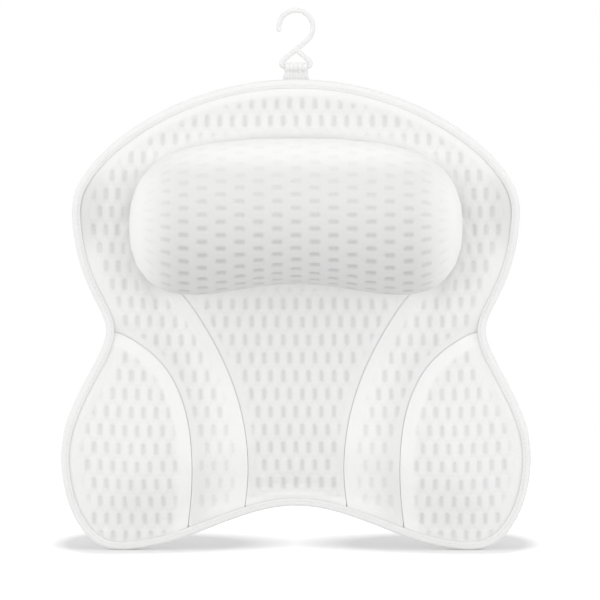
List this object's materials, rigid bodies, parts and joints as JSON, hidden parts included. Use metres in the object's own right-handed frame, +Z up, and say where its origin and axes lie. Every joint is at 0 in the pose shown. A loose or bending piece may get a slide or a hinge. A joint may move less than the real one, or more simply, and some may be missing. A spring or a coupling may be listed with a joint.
{
  "type": "bath pillow",
  "caption": "Butterfly-shaped padded mesh bath pillow with a raised head cushion, swelling lobes, bound edge, suction cups on the back and a swinging hook to hang it up to dry.",
  "frame": {"origin": "on the tub wall, in the plane of the suction cups' rims, on the pillow's plane of symmetry and level with the middle pair of suction cups", "axes": "+X to the right as one looks at the front, +Y from the pillow into the wall, +Z up to the hanging hook"},
  "size_m": [0.42, 0.0991, 0.4837],
  "materials": {
    "mesh_cloth": "white knitted spacer mesh with slot-shaped dimples",
    "stuffing": "white polyester fibre",
    "binding_tape": "white woven polyester tape",
    "hard_plastic": "milky white moulded plastic",
    "clear_vinyl": "clear soft vinyl"
  },
  "bodies": {
    "pillow": {"wing_cover_left": "mesh_cloth", "wing_cover_right": "mesh_cloth", "wing_filling_left": "stuffing", "wing_filling_right": "stuffing", "arch_cover": "mesh_cloth", "arch_filling": "stuffing", "centre_cover": "mesh_cloth", "centre_filling": "stuffing", "head_cover": "mesh_cloth", "head_filling": "stuffing", "back_panel": "mesh_cloth", "edge_binding": "binding_tape", "hook_loop": "binding_tape", "eyelet_upper_left": "hard_plastic", "eyelet_upper_right": "hard_plastic", "eyelet_middle_left": "hard_plastic", "eyelet_middle_right": "hard_plastic", "eyelet_lower_left": "hard_plastic", "eyelet_lower_right": "hard_plastic", "eyelet_washer_upper_left": "hard_plastic", "eyelet_washer_upper_right": "hard_plastic", "eyelet_washer_middle_left": "hard_plastic", "eyelet_washer_middle_right": "hard_plastic", "eyelet_washer_lower_left": "hard_plastic", "eyelet_washer_lower_right": "hard_plastic"},
    "hook": {"hook": "hard_plastic"},
    "cup_upper_left": {"suction_cup_upper_left": "clear_vinyl"},
    "cup_upper_right": {"suction_cup_upper_right": "clear_vinyl"},
    "cup_middle_left": {"suction_cup_middle_left": "clear_vinyl"},
    "cup_middle_right": {"suction_cup_middle_right": "clear_vinyl"},
    "cup_lower_left": {"suction_cup_lower_left": "clear_vinyl"},
    "cup_lower_right": {"suction_cup_lower_right": "clear_vinyl"}
  },
  "joints": [
    {"name": "hook_swing", "type": "hinge", "parent": "pillow", "child": "hook", "pos_m": [0, -0.0105, 0.234], "axis": [1, 0, 0], "range_deg": [-140, 115]},
    {"name": "cup_spin_upper_left", "type": "hinge", "parent": "pillow", "child": "cup_upper_left", "pos_m": [-0.088, 0, 0.121], "axis": [0, 1, 0], "continuous": true},
    {"name": "cup_spin_upper_right", "type": "hinge", "parent": "pillow", "child": "cup_upper_right", "pos_m": [0.088, 0, 0.121], "axis": [0, 1, 0], "continuous": true},
    {"name": "cup_spin_middle_left", "type": "hinge", "parent": "pillow", "child": "cup_middle_left", "pos_m": [-0.12308, 0, 0], "axis": [0, 1, 0], "continuous": true},
    {"name": "cup_spin_middle_right", "type": "hinge", "parent": "pillow", "child": "cup_middle_right", "pos_m": [0.12308, 0, 0], "axis": [0, 1, 0], "continuous": true},
    {"name": "cup_spin_lower_left", "type": "hinge", "parent": "pillow", "child": "cup_lower_left", "pos_m": [-0.15377, 0, -0.114], "axis": [0, 1, 0], "continuous": true},
    {"name": "cup_spin_lower_right", "type": "hinge", "parent": "pillow", "child": "cup_lower_right", "pos_m": [0.15377, 0, -0.114], "axis": [0, 1, 0], "continuous": true}
  ]
}
